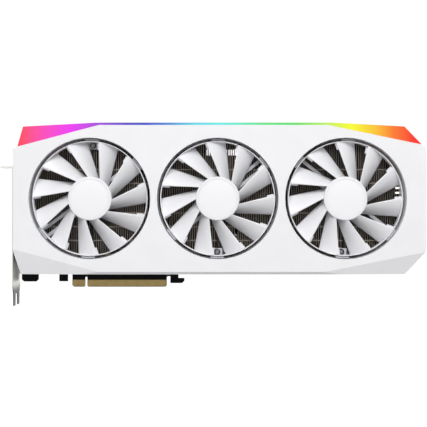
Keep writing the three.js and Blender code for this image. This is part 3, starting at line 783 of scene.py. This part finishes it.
def make_rotor(fan):
    centre = FAN_CENTRE[fan] / MM
    bm = bmesh.new()
    add_turned(bm, hub_profile(), (0, 0), 96)
    add_turned(bm, ring_profile(), (0, 0), 132)
    for i in range(BLADES):
        turn = BLADE_TURN[fan] + i * 360 / BLADES
        add_blade(bm, turn)
        add_winglet(bm, turn)
    bmesh.ops.translate(bm, verts=bm.verts, vec=Vector((centre.x, 0, centre.z)) * MM)
    piece(fan + "_blades", bm, fan, "rotor_white", stands_for=[fan + "_rotor"], angle=40)


def make_hub_cap(fan):
    """Smooth cap with a soft edge, sunk level with the hub's rim."""
    centre = FAN_CENTRE[fan] / MM
    bm = bmesh.new()
    radius, front = CAP_R - CAP_GAP, HUB_Y[0]
    profile = [
        (0, front),
        *rounded_corner((radius - CAP_ROUNDING, front + CAP_ROUNDING), CAP_ROUNDING, 270, 360, 4),
        (radius, front + 0.5),
        (0, front + 0.5),
    ]
    add_turned(bm, profile, (centre.x, centre.z), 96)
    piece(fan + "_cap", bm, fan, "hub_cap", stands_for=[fan + "_hub_cap"], angle=30)


# ------------------------------------------------------------------ screws


def add_screw(bm, at, radius, height, facing):
    """Pan-head screw with a cross recess. facing is -1 towards the fans and +1 towards the back."""
    x, y, z = at
    face = y + facing * height
    arm, half = 0.6 * radius, 0.13 * radius
    middle = (arm + half) / 2
    quarter = [(arm, -half), (arm, half), (middle, half), (half, half), (half, middle)]
    cross = [Vector((a, 0, b)) for a, b in quarter]
    cross += [Vector((-b, 0, a)) for a, b in quarter]
    cross += [Vector((-a, 0, -b)) for a, b in quarter]
    cross += [Vector((b, 0, -a)) for a, b in quarter]
    edge = [corner.normalized() * radius for corner in cross]
    levels = [
        ([corner * 0.75 for corner in cross], face - facing * 0.6 * height),
        (cross, face),
        ([corner * 0.76 for corner in edge], face),
        (edge, face - facing * 0.4 * height),
        (edge, y),
    ]
    rings = [[bm.verts.new((Vector((x, at_y, z)) + c) * MM) for c in points] for points, at_y in levels]
    join_rings(bm, rings)


def fan_screws(fan):
    """A screw with a washer in each of the frame's two ears."""
    centre = FAN_CENTRE[fan] / MM
    heads, washers = bmesh.new(), bmesh.new()
    for half in (0, 180):
        spot = centre + polar(SCREW_CIRCLE_R, EAR_TURN[fan] + half)
        washer = [(1.0, 0), (2.7, 0), (2.75, -0.25), (2.6, -0.4), (1.0, -0.4)]
        profile = [(radius, EAR_FRONT + y) for radius, y in washer]
        add_turned(washers, profile, (spot.x, spot.z), 28)
        add_screw(heads, (spot.x, EAR_FRONT - 0.35, spot.z), 1.9, 1.0, -1)
    piece(fan + "_screws", heads, "card", "fan_frame_grey", SCREW_STEEL, angle=25)
    piece(fan + "_washers", washers, "card", "fan_frame_grey", SCREW_BLACK, angle=25)


# ------------------------------------------------------------------ cooler


def box_mm(node):
    """Lowest and highest corner of a CAD node, in millimetres."""
    low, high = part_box(node)
    return low / MM, high / MM


def middle_mm(node):
    low, high = box_mm(node)
    return (low + high) / 2


def make_fins(node):
    """Thin plates with folded clips between them and folded flanges along the back."""
    low, high = box_mm(node)
    bm = bmesh.new()
    count = int((high.x - low.x - FIN_THICK) // FIN_PITCH)
    start = low.x + (high.x - low.x - FIN_THICK - count * FIN_PITCH) / 2
    for i in range(count + 1):
        x = start + i * FIN_PITCH
        add_box(bm, (x, low.y, low.z), (x + FIN_THICK, high.y, high.z))
        if i == count:
            continue
        left, right = x + FIN_THICK + 0.05, x + FIN_PITCH - 0.05
        for row in FIN_CLIP_ROWS:
            add_box(bm, (left, low.y + 0.1, row), (right, low.y + 0.45, row + 1.0))
        for z in (low.z, high.z - 0.3):
            add_box(bm, (left, low.y + 3, z), (right, low.y + 6, z + 0.3))
        for bottom, top in ((low.z, FIN_OPEN[0]), (FIN_OPEN[1], high.z)):
            add_box(bm, (left, high.y - FIN_FLANGE, bottom), (right, high.y, top))
        bottom, top = FIN_OPEN[0] + 0.05, FIN_OPEN[1] - 0.05
        add_box(bm, (left, high.y - FIN_FLANGE, bottom), (left + 0.5, high.y, top))
    piece(node + "_fins", bm, "card", "fins", stands_for=[node])


def make_nylon_clips():
    """Three short clips of white nylon, pressed onto the fins beside the last fan."""
    face = box_mm("fin_stack_right")[0].y
    ends, arch = face - 0.7, face - 0.9
    bm = bmesh.new()
    for z in NYLON_CLIP_Z:
        path = [(236.9, ends, z), (237.8, arch, z + 0.1), (239.4, arch, z + 0.1), (240.4, ends, z)]
        add_tube(bm, smooth_path(path, 4), NYLON_CLIP_R, 12)
    # Their nylon glows all over with painted light, as they sit below the nylon glow height.
    piece("fin_clips", bm, "card", "socket_plastic", angle=60)


def make_heat_pipes():
    gpu_z, fan_z = middle_mm("gpu_package").z, FAN_CENTRE["fan_1"].z / MM
    for i in range(4):
        node = f"heat_pipe_{i + 1}"
        low, high = box_mm(node)
        y = (low.y + high.y) / 2
        near, far = gpu_z + 8 * (i - 1.5), fan_z + 22 * (i - 1.5)
        heights = [far, far, near, near, near, far, far, far]
        path = smooth_path([(x, y, z) for x, z in zip(PIPE_STATIONS, heights)], 10)
        bm = bmesh.new()
        add_tube(bm, path, PIPE_R, 20)
        piece(node + "_tube", bm, "card", "heat_pipe", stands_for=[node], angle=60)


def make_fan_lead(fan):
    """Four thin wires, twisted together, from the motor base down and back to the header."""
    header = middle_mm(fan + "_header")
    x, z = FAN_CENTRE[fan].x / MM, FAN_CENTRE[fan].z / MM
    front = box_mm(fan + "_header")[0].y - 0.3
    reach, low, y = header.x - x, LEAD_LOW_Z, LEAD_FRONT_Y
    route = [
        (x, y, z - 8), (x, y, 50), (x, y, 34), (x, y, 27), (x, y + 0.6, low + 3.4), (x, y + 3, low + 1),
        (x, y + 8, low), (x + reach * 0.3, -22, low), (x + reach * 0.8, -13, low - 0.6),
        (header.x, front - 3, header.z), (header.x, front, header.z),
    ]
    path = smooth_path(route, 9)
    bm = bmesh.new()
    for wire in range(4):
        strand, travelled = [], 0.0
        for i, (point, across, up) in enumerate(frames_along(path)):
            travelled += (point - path[max(i - 1, 0)]).length
            phase = math.pi / 2 * wire + travelled * 0.35
            strand.append(point + (across * math.cos(phase) + up * math.sin(phase)) * WIRE_OFFSET)
        add_tube(bm, strand, WIRE_R, 8)
    piece(fan + "_lead", bm, "card", "cable_sleeve", stands_for=[fan + "_cable"], angle=60)


def make_plug(fan):
    """Plug housing over the header, with four ribs and a latch."""
    low, high = box_mm(fan + "_header")
    bm = cad_copy(fan + "_header")
    round_edges(bm, 0.3)
    for i in range(4):
        x = low.x + 1.7 + i * 2.2
        add_box(bm, (x, low.y + 0.6, high.z - 0.05), (x + 0.8, high.y - 1.2, high.z + 0.25))
    add_box(bm, (low.x + 3, low.y + 1, low.z - 0.4), (high.x - 3, high.y - 2, low.z + 0.05))
    piece(fan + "_plug", bm, "card", "header_plastic", stands_for=[fan + "_header"])


def make_spring_plate():
    refined("spring_plate", 0.2)
    centre = middle_mm("spring_plate")
    back = box_mm("spring_plate")[1].y
    bm = bmesh.new()
    for side_x in (-1, 1):
        for side_z in (-1, 1):
            x, z = centre.x + side_x * SPRING_SCREW_OFFSET, centre.z + side_z * SPRING_SCREW_OFFSET
            add_screw(bm, (x, back, z), 2.6, 1.4, 1)
    piece("spring_plate_screws", bm, "card", "spring_steel", SCREW_STEEL, angle=25)


# ------------------------------------------------------------------ board


def contact_pads():
    bm = bmesh.new()
    for left, count in PAD_ROWS:
        for i in range(count):
            x = left + i * PAD_PITCH
            for side in (-1, 1):
                y = sorted((side * BOARD_HALF, side * (BOARD_HALF + PAD_PROUD)))
                add_box(bm, (x, y[0], PAD_LOW), (x + PAD_WIDTH, y[1], PAD_HIGH))
    piece("contact_pads", bm, "card", "circuit_board", GOLD_PLATE)


def add_chip_capacitor(body, ends, x, z, face, facing, size):
    """Tiny surface part: a dark or pale body between two tinned ends."""
    half_x, half_z, height = size
    near, far = sorted((face, face + facing * height))
    add_box(body, (x - half_x * 0.62, near, z - half_z), (x + half_x * 0.62, far, z + half_z))
    grown = 0.02
    top = far + grown * (facing > 0)
    for side in (-1, 1):
        inner, outer = sorted((x + side * half_x * 0.62, x + side * half_x))
        add_box(ends, (inner, near, z - half_z - grown), (outer, top, z + half_z + grown))


def small_parts():
    """Rows of tiny parts around the GPU, beside the chips and behind the board."""
    gpu = middle_mm("gpu_package")
    board_front, board_back = -LACQUER_HALF, LACQUER_HALF
    package_front = box_mm("gpu_package")[0].y
    body, ends = bmesh.new(), bmesh.new()
    for i in range(9):
        for side in (-1, 1):
            spot = (gpu.x + side * 17.5, gpu.z - 14 + 3.5 * i)
            add_chip_capacitor(body, ends, *spot, package_front, -1, (0.9, 0.5, 0.5))
    for i in range(14):
        for x, z in ((-70, 34 + 5 * i), (-64, 36 + 5 * i), (124, 34 + 5 * i), (130, 36 + 5 * i)):
            add_chip_capacitor(body, ends, x, z, board_front, -1, (1.0, 0.55, 0.7))
    for i in range(10):
        for row in (-1, 0, 1):
            x = gpu.x + row * 3.2
            add_chip_capacitor(body, ends, x, gpu.z - 25 + i * 1.1, board_back, 1, (0.8, 0.4, 0.42))
            add_chip_capacitor(body, ends, x, gpu.z + 15 + i * 1.1, board_back, 1, (0.8, 0.4, 0.42))
    piece("small_part_bodies", body, "card", "chip_plastic", CERAMIC)
    piece("small_part_ends", ends, "card", "socket_shell", TIN)


def board_capacitors():
    """Two columns of round solid capacitors near the right end of the board."""
    foot, top = -0.85, -6.0
    profile = [
        (0, foot), (3.1, foot), (3.1, foot - 0.65), (2.85, foot - 0.95),
        (2.85, top + 0.4), (2.5, top), (0, top),
    ]
    bm = bmesh.new()
    for i in range(7):
        for x in CAN_X:
            add_turned(bm, profile, (x, CAN_LOW_Z + CAN_PITCH * i), 28)
    piece("board_capacitors", bm, "card", "socket_shell", TIN)


def make_board_parts():
    refined("circuit_board", 0.12, 1)
    refined("gpu_package", 0.15, 1)
    refined("gpu_die", 0.05, 1)
    for i in range(8):
        refined(f"memory_chip_{i + 1}", 0.12, 2)
    for i in range(2):
        make_choke(f"choke_{i + 1}")
    small_parts()
    board_capacitors()
    contact_pads()


def make_choke(node):
    """Pressed ferrite block with two bent terminals."""
    low, high = box_mm(node)
    bm = cad_copy(node)
    round_edges(bm, 0.7, 3)
    for z in (low.z - 0.2, high.z - 0.2):
        add_box(bm, (low.x + 2.6, high.y - 2.6, z), (high.x - 2.6, high.y, z + 0.4))
    piece(node + "_body", bm, "card", "choke_body", stands_for=[node])


def make_power_socket(node):
    """Nylon housing with a latch ridge, and a square pin in each well."""
    low, high = box_mm(node)
    bm = cad_copy(node)
    round_edges(bm, 0.25)
    middle_x, middle_y = (low.x + high.x) / 2, (low.y + high.y) / 2
    add_box(bm, (middle_x - 3.2, low.y - 1.1, high.z - 9), (middle_x + 3.2, low.y + 0.05, high.z - 6.4))
    for x in (low.x + 2.6, high.x - 4.2):
        add_box(bm, (x, low.y - 0.45, low.z + 1.5), (x + 1.6, low.y + 0.05, high.z - 1.2))
    # The housing's lower front glows with painted light, below the nylon glow height.
    piece(node + "_housing", bm, "card", "socket_plastic", stands_for=[node])
    pins = bmesh.new()
    for i in range(4):
        for row in (-0.5, 0.5):
            x, y = middle_x + 4.2 * (i - 1.5), middle_y + row * 4.2
            rings = []
            for half, z in ((0.55, high.z - 10), (0.55, high.z - 3.4), (0.25, high.z - 2.6)):
                corners = [(-half, -half), (half, -half), (half, half), (-half, half)]
                rings.append([pins.verts.new(Vector((x + a, y + b, z)) * MM) for a, b in corners])
            join_rings(pins, rings)
    piece(node + "_pins", pins, "card", "socket_shell", TIN)


def make_video_socket(node):
    """Folded shell round a tongue that carries a row of contacts."""
    refined(node, 0.22)
    low, high = box_mm(node)
    middle_y = (low.y + high.y) / 2
    bm = bmesh.new()
    first = low.z + 3.2
    for i in range(12):
        z = first + i * (high.z - low.z - 6.8) / 11
        for face in (middle_y - 0.55, middle_y + 0.5):
            add_box(bm, (low.x + 1.9, face, z), (low.x + 9, face + 0.05, z + 0.4))
    piece(node + "_contacts", bm, "card", "socket_shell", GOLD_PLATE)


# ------------------------------------------------------------------ back of the card


def back_screws():
    """Screws in the backplate's wells and through the bracket's ears."""
    front = box_mm("backplate")[0].y
    bm = bmesh.new()
    for x, z in BACKPLATE_SCREWS:
        add_screw(bm, (x, front - 0.6, z), 2.7, 1.7, 1)
    piece("backplate_screws", bm, "card", "backplate_white", SCREW_BLACK, angle=25)
    bm = bmesh.new()
    for x, z in BRACKET_SCREWS:
        add_screw(bm, (x, BRACKET_EAR_BACK, z), 2.4, 1.0, 1)
    piece("bracket_screws", bm, "card", "bracket_steel", SCREW_STEEL, angle=25)


# ------------------------------------------------------------------ assembly


def make_shell():
    refined("shroud", 0.7, 3, 15)
    refined("light_diffuser", 0.4, 2, 15)
    refined("light_board", 0.2, 1)
    refined("io_bracket", 0.18)
    refined("backplate", 0.35)
    back_screws()


def make_cooler():
    make_fins("fin_stack_left")
    make_fins("fin_stack_right")
    make_heat_pipes()
    make_nylon_clips()
    refined("cold_plate", 0.4)
    refined("memory_plate", 0.25)
    make_spring_plate()


def main():
    make_shell()
    for fan in FANS:
        make_rotor(fan)
        make_hub_cap(fan)
        refined(fan + "_frame", 0.35)
        fan_screws(fan)
        make_fan_lead(fan)
        make_plug(fan)
    make_cooler()
    make_board_parts()
    for i in range(2):
        make_power_socket(f"power_socket_{i + 1}")
    for i in range(4):
        make_video_socket(f"video_socket_{i + 1}")


def paint_cad_nodes():
    for name, node in NODES.items():
        node.data.materials.clear()
        node.data.materials.append(MATERIALS[node_slot(name)])
        for polygon in node.data.polygons:
            polygon.material_index = 0


# ------------------------------------------------------------------ studio


def make_camera():
    data = bpy.data.cameras.new("camera")
    data.lens = CAMERA_LENS
    data.sensor_width = 36
    data.clip_start, data.clip_end = 0.01, 50
    made = bpy.data.objects.new("camera", data)
    made.location = CAMERA_AT
    made.rotation_euler = (math.radians(90), 0, 0)
    bpy.context.scene.collection.objects.link(made)
    bpy.context.scene.camera = made


def make_floor():
    bm = bmesh.new()
    bmesh.ops.create_grid(bm, x_segments=1, y_segments=1, size=6)
    mesh = bpy.data.meshes.new("floor")
    bm.to_mesh(mesh)
    bm.free()
    floor = bpy.data.objects.new("floor", mesh)
    floor.location = (CAMERA_AT.x, 0, -FLOOR_DROP * MM)
    bpy.context.scene.collection.objects.link(floor)
    n = Nodes("floor")
    parts = n.node("ShaderNodeSeparateXYZ")
    n.link(n.coords, parts.inputs["Vector"])
    # Behind the card the floor brightens into the white background.
    fade = n.node("ShaderNodeMapRange", interpolation_type="SMOOTHSTEP")
    fade.inputs["From Min"].default_value, fade.inputs["From Max"].default_value = FLOOR_FADE
    fade.inputs["To Max"].default_value = FLOOR_GLOW
    n.link(parts.outputs["Y"], fade.inputs["Value"])
    n.link(fade.outputs["Result"], n.shader.inputs["Emission Strength"])
    grey = (FLOOR_GREY, FLOOR_GREY, FLOOR_GREY, 1)
    n.set(Base_Color=grey, Roughness=0.8, Emission_Color=(1, 1, 1, 1))
    mesh.materials.append(n.material)


def softbox(name, at, size, power):
    data = bpy.data.lights.new(name, "AREA")
    data.shape = "RECTANGLE"
    data.size, data.size_y = size
    data.energy = power
    made = bpy.data.objects.new(name, data)
    made.location = at
    made.rotation_euler = (LIGHTS_AIM - at).to_track_quat("-Z", "Y").to_euler()
    bpy.context.scene.collection.objects.link(made)


def make_world():
    """White behind the card as the camera sees it, and softer all round."""
    world = bpy.data.worlds.new("studio")
    bpy.context.scene.world = world
    world.use_nodes = True
    tree = world.node_tree
    background = tree.nodes["Background"]
    coords = tree.nodes.new("ShaderNodeTexCoord")
    parts = tree.nodes.new("ShaderNodeSeparateXYZ")
    tree.links.new(coords.outputs["Generated"], parts.inputs["Vector"])
    behind = tree.nodes.new("ShaderNodeMapRange")
    behind.interpolation_type = "SMOOTHSTEP"
    behind.inputs["From Min"].default_value = 0.75
    behind.inputs["From Max"].default_value = 0.95
    behind.inputs["To Min"].default_value = WORLD_SIDE
    behind.inputs["To Max"].default_value = WORLD_BEHIND
    tree.links.new(parts.outputs["Y"], behind.inputs["Value"])
    tree.links.new(behind.outputs["Result"], background.inputs["Strength"])
    background.inputs["Color"].default_value = (1, 1, 1, 1)


def make_studio():
    make_camera()
    make_floor()
    make_world()
    for name, at, size, power in SOFTBOXES:
        softbox(name, at, size, power)
    bpy.context.scene.view_settings.view_transform = "Standard"


make_studio()
paint_cad_nodes()
main()
